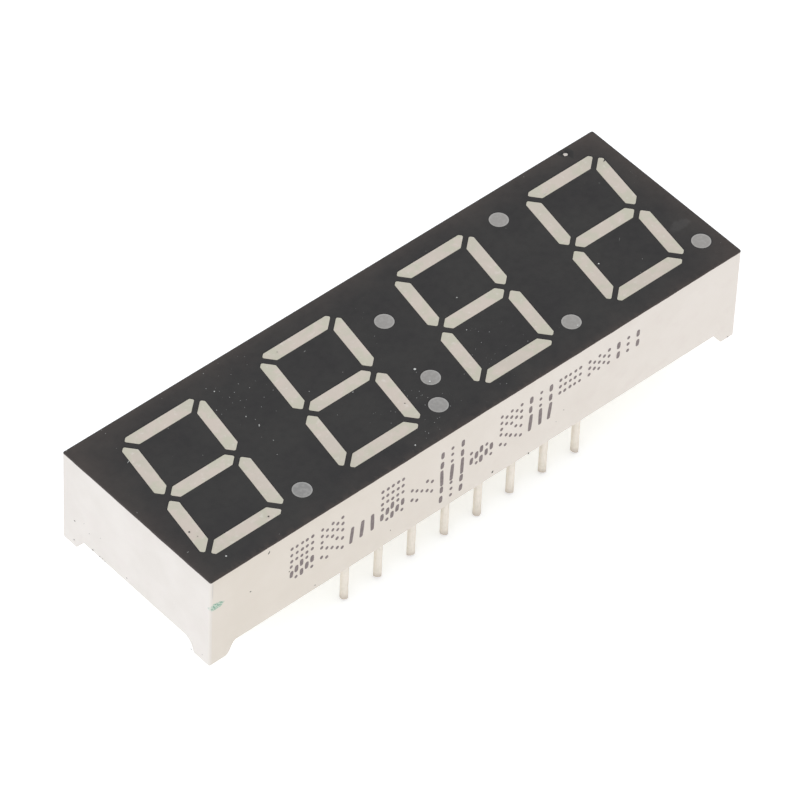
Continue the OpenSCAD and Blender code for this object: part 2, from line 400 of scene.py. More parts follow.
# Where dust lies in drifts on the face, and a faint smudge by the last decimal point
DRIFTS = [
    ((-9.6, 3.4, FACE), (2.6, 3.4, 2.0)),
    ((-3.0, -4.3, FACE), (3.6, 2.2, 2.0)),
    ((3.8, -3.6, FACE), (2.8, 2.8, 2.0)),
    ((-1.2, 2.6, FACE), (1.4, 3.0, 2.0)),
]
SMUDGE = ((18.7, -2.6, FACE), (0.8, 0.45, 1.0))


def plastic():
    """White moulded plastic with painted shade, darker to the left and yellower on the front; a painted
    highlight and a painted line of shade by the front left upright edge; and a green smear.
    """
    f = Finish("white_plastic", roughness=0.42, specular=0.4)
    cloud = f.ramp(f.noise(2.5, 3.0), 0.35, 0.65, -0.25, 0.25)
    # Painted shade: the plastic is painted darker towards its left end, mixed with random mottling.
    mottle_and_shade = f.sum(cloud, f.ramp(f.along(0), -HALF_X, HALF_X, 0.25, 1.0))
    base = f.mixed(mottle_and_shade, (0.675, 0.618, 0.562), (0.735, 0.677, 0.625))
    base = f.mixed(f.ramp(f.noise(1.1, 3.0), 0.5, 0.75, 0.0, 0.5), base, (0.69, 0.62, 0.575))
    base = f.mixed(f.times(f.specks(0.7, 0.03, 0.03), 0.6), base, (0.3, 0.25, 0.22))
    near_corner = f.ramp(f.along(0), 0.2 - HALF_X, 0.14 - HALF_X)
    on_front = f.ramp(f.along(1), 0.14 - HALF_Y, 0.08 - HALF_Y)
    # Painted shade: the front wall is painted warmer and darker, most towards its left end.
    warm_front_shade = f.times(on_front, f.ramp(f.along(0), -HALF_X, HALF_X, 0.45, 0.12))
    base = f.mixed(warm_front_shade, base, (0.66, 0.58, 0.47))
    # Painted highlight: a pale band on the front wall along its rounded left upright edge.
    base = f.mixed(f.times(f.times(near_corner, on_front), 0.6), base, (0.71, 0.66, 0.61))
    # Painted shade: a thin grey line down the front wall beside its rounded left upright edge.
    edge_shade_mask = f.patch(*PAINTED_EDGE_SHADE, 0.4, 0.4)
    base = f.mixed(f.times(edge_shade_mask, 0.45), base, (0.42, 0.4, 0.39))
    smear = f.patch(*SMEAR, 0.25, 0.9)
    base = f.mixed(f.times(smear, 0.6), base, (0.32, 0.52, 0.4))
    streaks = f.times(smear, f.ramp(f.noise(0.1, 3.0), 0.48, 0.58))
    base = f.mixed(f.times(streaks, 0.85), base, (0.06, 0.24, 0.15))
    f.colour(base)
    f.roughness(f.ramp(f.noise(0.8), 0.3, 0.7, 0.38, 0.5))
    f.bump(f.noise(0.09, 3.0), 0.004)
    return f.material


def ink():
    """Matt black, browner towards the face's edges, with dust that lies in drifts."""
    f = Finish("black_ink", roughness=0.5, specular=0.3)
    cloud = f.ramp(f.noise(3.0, 4.0), 0.3, 0.7)
    base = f.mixed(cloud, (0.0225, 0.0215, 0.0225), (0.029, 0.028, 0.0275))
    mark = f.mark()
    base = f.mixed(f.ramp(mark, 0.0, 1.0, 0.0, 0.75), base, (0.004, 0.0035, 0.0032))
    browned = f.sum(mark, f.ramp(f.noise(1.3, 3.0), 0.3, 0.7, -0.05, 0.05))
    base = f.mixed(f.ramp(browned, -0.05, -1.0, smooth=False), base, (0.078, 0.06, 0.053))
    drift = f.ramp(f.noise(4.0, 2.0), 0.5, 0.9, 0.0, 0.4)
    for centre, radii in DRIFTS:
        drift = f.sum(drift, f.patch(centre, radii, 1.5, 0.8))
    base = f.mixed(f.times(f.specks(0.15, 0.028, 0.24), f.times(drift, 0.6)), base, (0.5, 0.5, 0.5))
    base = f.mixed(f.times(f.specks(0.4, 0.03, 0.16), 0.5), base, (0.5, 0.49, 0.47))
    smudge = f.patch(*SMUDGE, 0.5, 0.9)
    base = f.mixed(f.times(smudge, 0.03), base, (0.5, 0.5, 0.5))
    f.colour(base)
    f.roughness(f.ramp(f.noise(0.5, 4.0), 0.3, 0.7, 0.42, 0.6))
    f.bump(f.noise(0.12, 4.0), 0.006)
    return f.material


def milky_epoxy():
    """The segments' epoxy: pinker in the middle of a segment and greener towards its ends."""
    f = Finish("milky_epoxy", roughness=0.42, specular=0.35)
    along = f.sum(f.mark(), f.ramp(f.noise(0.7, 3.0), 0.3, 0.7, -0.45, 0.45))
    base = f.mixed(f.ramp(along, 0.15, 0.95), (0.61, 0.535, 0.47), (0.55, 0.525, 0.43))
    base = f.mixed(f.ramp(f.noise(1.6, 2.0), 0.45, 0.7, 0.0, 0.5), base, (0.55, 0.50, 0.435))
    base = f.mixed(f.ramp(f.noise(0.28, 3.0), 0.55, 0.8, 0.0, 0.4), base, (0.76, 0.72, 0.67))
    base = f.mixed(f.times(f.specks(0.3, 0.03, 0.05), 0.5), base, (0.12, 0.11, 0.1))
    f.colour(base)
    f.bump(f.noise(0.2, 3.0), 0.004)
    return f.material


def grey_epoxy():
    """The dots' epoxy, with painted shade and cool light: darker and bluer towards the left end of the
    face, and paler at its rim.
    """
    f = Finish("grey_epoxy", roughness=0.35, specular=0.35)
    # Painted shade and cool light tint: the dots are painted darker and bluer towards the left end of the
    # face.
    base = f.mixed(f.ramp(f.along(0), -8.0, 4.0), (0.255, 0.248, 0.242), (0.315, 0.30, 0.285))
    base = f.mixed(f.ramp(f.noise(0.2, 3.0), 0.42, 0.7, 0.0, 0.4), base, (0.4, 0.39, 0.375))
    base = f.mixed(f.ramp(f.mark(), 0.8, 1.0, 0.0, 0.35), base, (0.55, 0.54, 0.52))
    base = f.mixed(f.times(f.specks(0.3, 0.025, 0.06), 0.5), base, (0.1, 0.1, 0.1))
    f.colour(base)
    f.bump(f.noise(0.2, 3.0), 0.004)
    return f.material


def metal(name, base, tarnish, roughness, size=0.15):
    """Bare metal, tarnished in places."""
    f = Finish(name, roughness=roughness, metallic=1.0)
    f.colour(f.mixed(f.ramp(f.noise(size, 4.0), 0.4, 0.75), base, tarnish))
    f.roughness(f.ramp(f.noise(size / 2, 3.0), 0.3, 0.7, roughness - 0.08, roughness + 0.12))
    f.bump(f.noise(size / 3, 3.0), 0.003)
    return f.material


def pin_metal():
    """Tinned wire, browner at its cut tip."""
    f = Finish("tinned_pin", roughness=0.4, metallic=0.75)
    base = f.mixed(f.ramp(f.noise(0.3, 4.0), 0.4, 0.75), (0.78, 0.72, 0.645), (0.73, 0.68, 0.6))
    base = f.mixed(f.times(f.mark(), 0.65), base, (0.36, 0.29, 0.24))
    f.colour(base)
    f.roughness(f.ramp(f.noise(0.2, 3.0), 0.3, 0.7, 0.34, 0.5))
    f.bump(f.noise(0.1, 3.0), 0.004)
    return f.material


def potting_resin():
    """Cloudy cast epoxy with a few pale bubbles."""
    f = Finish("potting_resin", roughness=0.2, specular=0.5)
    base = f.mixed(f.ramp(f.noise(4.0, 3.0), 0.35, 0.7), (0.74, 0.70, 0.60), (0.66, 0.62, 0.51))
    base = f.mixed(f.times(f.specks(0.7, 0.09, 0.12), 0.35), base, (0.9, 0.88, 0.8))
    f.colour(base)
    f.bump(f.noise(1.6, 2.0), 0.02)
    return f.material


def dull(name, first, second, size, roughness=0.5):
    """A plain material, mottled between two colours."""
    f = Finish(name, roughness=roughness)
    f.colour(f.mixed(f.ramp(f.noise(size, 3.0), 0.35, 0.65), first, second))
    f.bump(f.noise(size / 4, 2.0), 0.003)
    return f.material


def paper():
    """The floor: pale and even, with no object on it but the part's own soft shadow."""
    f = Finish("floor_paper", roughness=0.9, specular=0.0)
    f.colour(f.mixed(f.noise(60.0), (0.93, 0.945, 0.965), (0.94, 0.955, 0.975)))
    f.surface.inputs["Emission Color"].default_value = (1, 1, 1, 1)
    f.surface.inputs["Emission Strength"].default_value = 0.3
    return f.material


PLASTIC = plastic()
INK = ink()
MILKY = milky_epoxy()
GREY = grey_epoxy()


# ---- The housing ----

# The feet by the corner that they stand at, along the long and the short walls. Each has the length of its
# sole and of its root along the wall, the power that bends the flank between them, and how far the flank's
# ends are softened.
LONG_FEET = {
    (-1, -1): (1.36, 1.78, 1.0, 0.17),
    (1, -1): (1.07, 1.46, 1.0, 0.08),
    (-1, 1): (1.1, 1.7, 1.1, 0.12),
    (1, 1): (1.15, 1.6, 1.0, 0.1),
}
SHORT_FEET = {
    (-1, 1): (1.2, 1.78, 0.9, 0.04),
    (-1, -1): (1.38, 2.0, 0.4, 0.06),
    (1, 1): (1.2, 1.8, 0.9, 0.08),
    (1, -1): (1.25, 1.75, 1.0, 0.1),
}


def stations(spacing_far, spacing_near, near):
    """Points round the body's outline, counterclockwise: place, outward normal, and length along it."""
    made = []

    def run(start, end, normal):
        """A straight wall."""
        length = np.linalg.norm(np.subtract(end, start))
        marks, s = [], 0.0
        while s < length - 1e-9:
            marks.append(s)
            s += spacing_near if min(s, length - s - spacing_near) < near else spacing_far
        for s in marks:
            made.append((*(np.array(start) + np.subtract(end, start) * s / length), *normal))

    def arc(i, j, first):
        """The upright edge on side i, j, whose normals start at an angle of first degrees."""
        radius = LEFT_CORNER if i < 0 else RIGHT_CORNER
        for k in range(6):
            a = math.radians(first + 90 * k / 6)
            c, s = math.cos(a), math.sin(a)
            made.append((i * (HALF_X - radius) + radius * c, j * (HALF_Y - radius) + radius * s, c, s))

    left, right = LEFT_CORNER, RIGHT_CORNER
    run((left - HALF_X, -HALF_Y), (HALF_X - right, -HALF_Y), (0, -1))
    arc(1, -1, 270)
    run((HALF_X, right - HALF_Y), (HALF_X, HALF_Y - right), (1, 0))
    arc(1, 1, 0)
    run((HALF_X - right, HALF_Y), (left - HALF_X, HALF_Y), (0, 1))
    arc(-1, 1, 90)
    run((-HALF_X, HALF_Y - left), (-HALF_X, left - HALF_Y), (-1, 0))
    arc(-1, -1, 180)
    made = np.array(made)
    step = np.linalg.norm(np.diff(made[:, :2], axis=0, prepend=made[:1, :2]), axis=1)
    return made[:, :2], made[:, 2:], np.cumsum(step)


def inwards(place, normal, distance):
    """Stations moved in from the outer wall; past a corner's radius they meet in a square corner."""
    radius = np.where(place[:, 0] < 0, LEFT_CORNER, RIGHT_CORNER)
    curved = (abs(normal) > 0.01).all(1) & (distance <= radius)
    held = np.clip(place, [distance - HALF_X, distance - HALF_Y], [HALF_X - distance, HALF_Y - distance])
    return np.where(curved[:, None], place - normal * distance, held)


def wall_bottom(place, normal):
    """Height of the wall's lower edge above the seating plane at a station."""
    if abs(normal[0]) > 0.01 and abs(normal[1]) > 0.01:
        return 0.0
    side = (1 if place[0] > 0 else -1, 1 if place[1] > 0 else -1)
    across = abs(normal[1]) > 0.5
    sole, root, power, soft = (LONG_FEET if across else SHORT_FEET)[side]
    away = HALF_X - abs(place[0]) if across else HALF_Y - abs(place[1])
    ramp = [np.clip((away + d - sole) / (root - sole), 0, 1) ** power for d in np.linspace(-soft, soft, 9)]
    return FOOT_HEIGHT * float(np.mean(ramp))


def quarter(steps):
    """Angles of a quarter turn, from 0 to a right angle."""
    return [math.pi / 2 * k / steps for k in range(steps + 1)]


def build_housing():
    """The white moulding: outer walls with feet, face with windows, wells and the open back."""
    place, normal, s = stations(0.4, 0.04, 2.3)
    bottom = np.array([wall_bottom(p, n) for p, n in zip(place, normal)])
    rough = np.array([0.012 * wave(t, 0.5, 3) for t in s])
    rough[bottom < 1e-6] = 0
    bottom = bottom + rough
    # Radii of the wall's edges: at the face, and outside and inside at its lower edge
    rim, toe, heel = 0.07, 0.06, 0.07
    rings = []

    def ring(distance, height):
        """The wall's outline moved in by distance."""
        rings.append(at_height(inwards(place, normal, distance), height))

    for a in quarter(4):
        ring(rim * (1 - math.sin(a)), COAT_BACK - rim + rim * math.cos(a))
    for share in (0.2, 0.4, 0.6, 0.8):
        ring(0.0, COAT_BACK - rim + (bottom + toe - COAT_BACK + rim) * share)
    for a in quarter(4):
        ring(toe * (1 - math.cos(a)), bottom + toe * (1 - math.sin(a)))
    ring(2 * toe, bottom)
    for a in quarter(3):
        ring(WALL - heel + heel * math.sin(a), bottom + heel * (1 - math.cos(a)))
    ring(WALL, (bottom + BOARD_FRONT) / 2)
    ring(WALL, BOARD_FRONT)
    body = Sheet()
    body.add_rings(rings[::-1])

    top_loop = inwards(place, normal, rim)
    flat, faces = spread([top_loop] + windows, [], top_loop, windows)
    body.add(at_height(flat, COAT_BACK), faces)
    for window, lip, foot in wells:
        body.add_rings([at_height(foot, BOARD_FRONT), at_height(window, lip), at_height(window, COAT_BACK)])
    inner = CORNERS * [HALF_X - WALL, HALF_Y - WALL]
    inner_loop = inwards(place, normal, WALL)
    inner_loop = inner_loop[np.linalg.norm(inner_loop - np.roll(inner_loop, 1, axis=0), axis=1) > 1e-6]
    feet = [foot for _, _, foot in wells]
    outside = [foot for foot in feet if depth_in(foot, inner).min() > 0]
    flat, faces = spread([inner_loop] + outside, [], inner, outside)
    body.add(at_height(flat, BOARD_FRONT), faces)
    body.piece("housing_shell", PLASTIC, "housing", HOUSING)


# ---- Windows in the face ----

WINDOW_RADIUS = 0.11
SMALLEST_RADIUS = 0.012
DOT_LIP = 0.8


def window_of(node, out=0.0):
    """The outline of a light at the face, moved out by a little where its neighbour's edge is wanted."""
    if node in DOTS:
        low, high = box_mm(node)
        return circle((low + high)[:2] / 2, (high[0] - low[0]) / 2 + out)
    sides = moved_in(outline_at(node, FACE), -out)
    return divided(rounded(sides, max(WINDOW_RADIUS + out, SMALLEST_RADIUS)), 0.2)


def well_of(node):
    """A light's window, the height of its lip, and its foot's outline on the board, point for point."""
    window = window_of(node)
    if node in DOTS:
        return window, FACE - DOT_LIP, window
    corners = outline_at(node, FACE)
    ahead = np.roll(corners, -1, axis=0) - corners
    axis = ahead[np.argmax(np.linalg.norm(ahead, axis=1))]
    i = 0 if abs(axis[0]) > abs(axis[1]) else 1
    foot = outline_at(node, BOARD_FRONT)[:, i]
    held = np.clip(window[:, i], foot.min(), foot.max())
    return window, levels(node)[-2], window + np.outer((held - window[:, i]) / axis[i], axis)


# ---- The black coat ----

# How far the coat's edge sinks at each window, where it meets the rim of the light
EDGE_SINK = 0.012

# A chip in the coat: centre and radius
CHIP = ((17.54, 5.93), 0.15)

# A small burr of ink near the coat's right edge
BURR = [(19.06, 4.19), (18.97, 4.14), (18.85, 4.08), (18.84, 4.04), (18.96, 4.06), (19.05, 4.03)]

# The coat's outer edge from the face down: distance in from the wall, depth below the face and mark
COAT_RIM = 0.09
COAT_PROFILE = [(COAT_RIM, 0.0, -0.45), (0.05, 0.008, -0.5), (0.02, 0.028, -0.6), (0.0, 0.06, -0.8)]

windows = [window_of(n) for n in SEGMENTS + DOTS]
wells = [well_of(n) for n in SEGMENTS + DOTS]


def crowded(points):
    """How much the lights' edges crowd round a point of the face."""
    total = np.zeros(len(points))
    for window in windows:
        near = abs(points - window.mean(0)).max(1) < 4
        total[near] += np.exp(np.minimum(depth_in(points[near], window), 0) / 0.1)
    return total


def chip_in_coat():
    """The ragged outline of the chip."""
    count = 14
    ragged = [[0.035 * wave(k, 1.3, 5), 0.03 * wave(k, 1.1, 6)] for k in range(count)]
    return hull(circle(*CHIP, count) + np.array(ragged))


def coat_marks(flat):
    """Above zero the coat is blacker, close to the lights; below zero it is browner, by its rim.

    Its corners are browned most, but not the front left one, and its front edge least.
    """
    x, y = flat.T
    rims = np.minimum(HALF_X - abs(x), np.minimum(HALF_Y - y, HALF_Y + y + 0.8))
    browned = [(i, j) for i, j in CORNERS if (i, j) != (-1, -1)]
    corners = np.min([np.hypot(x - i * HALF_X, y - j * HALF_Y) for i, j in browned], axis=0)
    close = np.clip(crowded(flat) - 0.35, 0, 1)
    return close - 0.4 * np.exp(-rims / 1.1) - 0.3 * np.exp(-corners / 2.0)


def build_coat():
    """The printed face: it sinks a little at each window and rounds over, slightly ragged, at its rim."""
    place, normal, s = stations(0.16, 0.16, 0.0)
    edge = np.array([0.02 * wave(t, 0.35, 1) + 0.02 * wave(t, 1.7, 2) for t in s])
    top_loop = inwards(place, normal, COAT_RIM)
    chip = chip_in_coat()
    holes = windows + [chip]
    loops = [top_loop] + holes
    for node in SEGMENTS + DOTS:
        loops += [window_of(node, 0.025), window_of(node, 0.1)]
    grid = grid_in((-HALF_X + 0.2, -HALF_Y + 0.2), (HALF_X - 0.2, HALF_Y - 0.2), 0.45, 4)
    clear = np.ones(len(grid), bool)
    for hole in holes:
        clear &= depth_in(grid, hole) < -0.14
    flat, faces = spread(loops, grid[clear], top_loop, holes)
    deepest = np.full(len(flat), -9.0)
    for hole in holes:
        deepest = np.maximum(deepest, depth_in(flat, hole))
    height = FACE - EDGE_SINK * np.exp(np.minimum(deepest, 0) / EDGE_SINK)
    coat = Sheet()
    coat.add(at_height(flat, height), faces, coat_marks(flat))
    for hole in holes:
        coat.add_rings([at_height(hole, COAT_BACK), at_height(hole, FACE - EDGE_SINK)], 0.8)
    rings = [at_height(inwards(place, normal, d), FACE - depth) for d, depth, _ in COAT_PROFILE]
    # The coat's lower edge laps a hair over the wall
    rings.append(at_height(place + normal * 0.006, FACE - 0.085 + edge))
    rings.append(at_height(inwards(place, normal, 0.03), FACE - 0.095 + edge))
    coat.add_rings(rings[::-1], [-1.0, -1.0] + [mark for _, _, mark in COAT_PROFILE[::-1]])
    coat.add(at_height(np.array(BURR), FACE - 0.004), [range(len(BURR))], 0.6)
    coat.piece("face_ink", INK, "face", COAT)


# ---- Lights ----


def build_light(node, material, slot):
    """A light's epoxy from the board up to the face, where its surface dishes a little."""
    window, lip, foot = well_of(node)
    low, high = window.min(0), window.max(0)
    outer = window_of(node, 0.015)
    loops = [outer] + [window_of(node, -d) for d in (0.03, 0.09, 0.18)]
    grid = grid_in(low, high, 0.22, 9)
    grid = grid[depth_in(grid, window) > 0.24]
    flat, faces = spread(loops, grid, outer, [])
    inside = np.maximum(depth_in(flat, window), 0)
    height = FACE - EDGE_SINK - 0.022 * (1 - np.exp(-inside / 0.1))
    middle = window.mean(0)
    reach = np.linalg.norm(window - middle, axis=1).max()
    marks = np.linalg.norm(flat - middle, axis=1) / reach
    light = Sheet()
    light.add(at_height(flat, height), faces, marks)
    sides = [(foot, BOARD_FRONT), (window, lip), (window, COAT_BACK), (outer, FACE - EDGE_SINK)]
    light.add_rings([at_height(loop, level) for loop, level in sides], 0.8)
    light.add(at_height(foot, BOARD_FRONT), [range(len(foot))[::-1]], 0.8)
    light.piece(f"{node}_epoxy", material, slot, node)


# ---- Pins ----

# How each front pin was cut off, judged from the photo: slope of the cut and its direction in
# degrees, and the rounding of its rim
CUTS = [
    (18, 215, 0.07), (32, 225, 0.03), (32, 250, 0.03), (25, 200, 0.08),
    (4, 229, 0.06), (30, 225, 0.04), (28, 220, 0.04), (22, 185, 0.06),
]

PIN_SIDES = 28


def cut_of(index):
    """How a pin was cut off; the back row doesn't show in the photo and is cut at random."""
    if index < PINS_PER_ROW:
        return CUTS[index]
    choice = random.Random(index)
    return choice.uniform(2, 22), choice.uniform(0, 360), choice.uniform(0.06, 0.18)


def build_pin(index):
    """A pin from its cut tip to its root in the board, a little uneven along its length."""
    node = PINS[index]
    low, high = box_mm(node)
    centre = (low + high)[:2] / 2
    points = corners_mm(node)
    radius = np.linalg.norm(points[points[:, 2] < low[2] + 1e-3][:, :2] - centre, axis=1).max()
    root = (high[0] - low[0]) / 2
    slope, towards, rim = cut_of(index)
    turn = math.radians(towards)
    lean = np.array([math.cos(turn), math.sin(turn)]) * math.tan(math.radians(slope))
    rings, marks = [], []

    def ring(r, height, mark, tilt=0.0):
        """A ring round the pin, level or tilted with the cut."""
        flat = circle((0, 0), r, PIN_SIDES)
        heights = height + (flat @ lean + radius * abs(lean).max()) * tilt
        rings.append(np.column_stack([flat + centre, heights]))
        marks.append(mark)

    ring(0.03, low[2], 1.0, 1.0)
    ring((radius - rim) * 0.6, low[2], 1.0, 1.0)
    for a in quarter(4):
        ring(radius - rim * (1 - math.sin(a)), low[2] + rim * (1 - math.cos(a)), 1.0 - 0.15 * a, 1.0)
    for k in range(1, 9):
        share = k / 8
        height = low[2] + rim + 0.25 + (POTTING_LEVEL - low[2] - rim - 0.25) * share ** 1.2
        ring(radius * (1 + 0.012 * wave(k, 1.4, index)), height, max(0, 0.3 - share))
    ring(root, POTTING_LEVEL + 0.02, 0.0)
    ring(root, high[2], 0.0)
    pin = Sheet()
    pin.add_rings(rings, marks)
    pin.add(rings[0], [range(PIN_SIDES)[::-1]], 1.0)
    pin.add(rings[-1], [range(PIN_SIDES)], 0.0)
    pin.piece(f"{node}_wire", PIN_METAL, "pin", node, sharp=50)


# ---- The potting ----


def build_potting():
    """The cast back: it creeps down the walls and the pins."""
    edge = np.array([HALF_X - WALL, HALF_Y - WALL])
    spacing = 0.35
    outline = divided(CORNERS * edge, spacing)
    collars = []
    for node in PINS:
        low, high = box_mm(node)
        collars.append(((low + high)[:2] / 2, (high[0] - low[0]) / 2 - 0.05))
    holes = [circle(c, r, PIN_SIDES) for c, r in collars]
    loops = [outline] + holes
    loops += [circle(c, r + d, PIN_SIDES) for c, r in collars for d in (0.05, 0.13, 0.26, 0.42)]
    loops += [divided(CORNERS * (edge - d), spacing) for d in (0.06, 0.15, 0.3, 0.5)]
    grid = grid_in(-edge + 0.6, edge - 0.6, 0.5, 8)
    clear = np.ones(len(grid), bool)
    for c, r in collars:
        clear &= np.linalg.norm(grid - c, axis=1) > r + 0.55
    flat, faces = spread(loops, grid[clear], CORNERS * edge, holes)
    rims = (edge - abs(flat)).min(1)
    creep = 0.05
    height = POTTING_LEVEL - creep * np.exp(-rims / 0.14)
    for c, r in collars:
        away = np.maximum(np.linalg.norm(flat - c, axis=1) - r, 0)
        height = height - 0.13 * np.exp(-away / 0.13)
    height = height + np.array([0.012 * noise.noise((x / 3.1, y / 2.7, 5.0)) for x, y in flat])
    resin = Sheet()
    resin.add(at_height(flat, height), faces[:, ::-1])
    resin.add_rings([at_height(outline, BOARD_FRONT), at_height(outline, POTTING_LEVEL - creep)])
    resin.piece("potting_fill", potting_resin(), "potting", POTTING)


# ---- Print and grit ----

# Surfaces that marks lie on: a point just above them, the direction across and the direction up
ON_FRONT = ((0, -HALF_Y - 0.004, 0), (1, 0, 0), (0, 0, 1))
ON_LEFT = ((-HALF_X - 0.004, 0, 0), (0, 1, 0), (0, 0, 1))
ON_FACE = ((0, 0, FACE + 0.003), (1, 0, 0), (0, 1, 0))


SPOT_SIDES = 12


def spot(sheet, surface, x, y, length, width, turn=0, straight=0.0, mark=0.0):
    """A flat oval mark, stretched along its length by a straight stretch, and turned by degrees."""
    base, across, up = (np.array(v, float) for v in surface)
    turns = np.arange(SPOT_SIDES) * 2 * math.pi / SPOT_SIDES
    u = length / 2 * np.cos(turns) + straight / 2 * np.sign(np.round(np.cos(turns), 3))
    v = width / 2 * np.sin(turns)
    c, s = math.cos(math.radians(turn)), math.sin(math.radians(turn))
    points = base + np.outer(x + c * u - s * v, across) + np.outer(y + s * u + c * v, up)
    sheet.add(points, [range(SPOT_SIDES)], mark)


# The print is made of square blocks of dots: dots along a side, and the steps between dots and blocks
BLOCK_DOTS = 5
DOT_COLUMN = 0.38
DOT_ROW = 0.262
BLOCK_STEP = 2.245
PRINT_LEFT = -14.15

# The printed lines: the height of the top row of dots, and the places along the line that hold a block
PRINT_LINES = [(5.56, (0, 1, 3, 5, 7, 8, 9, 10, 11)), (4.08, range(9)), (2.7, (5,))]

# Which dots a block shows, by column and row: plain patterns, with no letters or figures
PATTERNS = [
    lambda i, j: j % 2 == 0,
    lambda i, j: i % 2 == 0,
    lambda i, j: (i + j) % 2 == 0,
    lambda i, j: (i + j) % 3 != 1,
    lambda i, j: i in (0, 4) and j != 2 or i == 2 and j % 2 == 0,
    lambda i, j: (i - j) % 3 == 0,
]


def build_print():
    """Blocks of ink dots in two lines and a bit, which stand in for the print and spell nothing."""
    shake = random.Random(12)
    ink_dots = Sheet()

    def jitter(most):
        """A random shift of at most this much either way."""
        return most * (2 * shake.random() - 1)

    def dots(left, top, shown):
        """One block: dots that touch above one another run together into a bar."""
        for i in range(BLOCK_DOTS):
            start = 0
            while start < BLOCK_DOTS:
                end = start
                while end < BLOCK_DOTS and shown(i, end):
                    end += 1
                if end > start:
                    run = (end - start - 1) * DOT_ROW
                    size = (0.27 if run else 0.235) + jitter(0.015)
                    x = left + i * DOT_COLUMN + jitter(0.02)
                    z = top - start * DOT_ROW - run / 2 + jitter(0.015)
                    spot(ink_dots, ON_FRONT, x, z, size + 0.02, size, 88 + jitter(4), run)
                start = end + 1

    for k, (top, blocks) in enumerate(PRINT_LINES):
        for b in blocks:
            dots(PRINT_LEFT + b * BLOCK_STEP, top, PATTERNS[(2 * b + 3 * k) % len(PATTERNS)])
    grey = dull("grey_print", (0.165, 0.13, 0.125), (0.215, 0.175, 0.17), 0.2, 0.6)
    ink_dots.piece("print_dots", grey, "face", solid=False)


# The marks below were picked on enlarged views of the photo. Their places were then worked out in
# millimetres through the fitted camera, some by a scratch script and some by hand, and rounded.

# Dark grit: surface, two coordinates on it, length, width and turn in degrees
GRIT = [
    (ON_LEFT, 5.34, 2.13, 0.12, 0.09, 0), (ON_LEFT, 5.4, 0.5, 0.1, 0.08, 0),
    (ON_LEFT, 3.75, 1.05, 0.12, 0.09, 30), (ON_LEFT, 3.13, 1.0, 0.1, 0.08, 0),
    (ON_LEFT, 2.9, 1.02, 0.08, 0.05, 0), (ON_LEFT, 2.68, 0.98, 0.09, 0.05, 40),
    (ON_LEFT, 0.76, 1.25, 0.07, 0.06, 0), (ON_LEFT, 4.05, 2.14, 0.07, 0.05, 0),
    (ON_LEFT, 4.52, 2.6, 0.05, 0.04, 0), (ON_LEFT, 3.08, 2.6, 0.05, 0.04, 0),
    (ON_LEFT, -4.85, 0.13, 0.12, 0.08, 20), (ON_LEFT, -5.8, 0.5, 0.06, 0.05, 0),
    (ON_FRONT, -15.85, 6.48, 0.24, 0.09, 60), (ON_FRONT, -17.15, 4.18, 0.14, 0.08, 150),
    (ON_FRONT, -12.33, 1.25, 0.1, 0.07, 0), (ON_FRONT, -6.72, 1.87, 0.1, 0.05, 120),
    (ON_FRONT, -14.3, 3.8, 0.1, 0.08, 0), (ON_FRONT, 1.05, 1.33, 0.2, 0.12, 60),
    (ON_FRONT, 3.85, 0.96, 0.2, 0.09, 110), (ON_FRONT, 6.45, 2.83, 0.08, 0.05, 0),
    (ON_FRONT, 5.9, 2.2, 0.06, 0.05, 0), (ON_FRONT, 19.6, 0.1, 0.1, 0.08, 0),
    (ON_FACE, -18.55, -2.75, 0.12, 0.11, 0), (ON_FACE, -14.42, -4.67, 0.12, 0.09, 0),
    (ON_FACE, -2.9, -3.05, 0.08, 0.06, 0), (ON_FACE, -5.85, 4.57, 0.06, 0.05, 0),
    (ON_FACE, -18.75, -2.35, 0.06, 0.05, 0), (ON_FACE, -18.4, -3.3, 0.05, 0.05, 0),
]

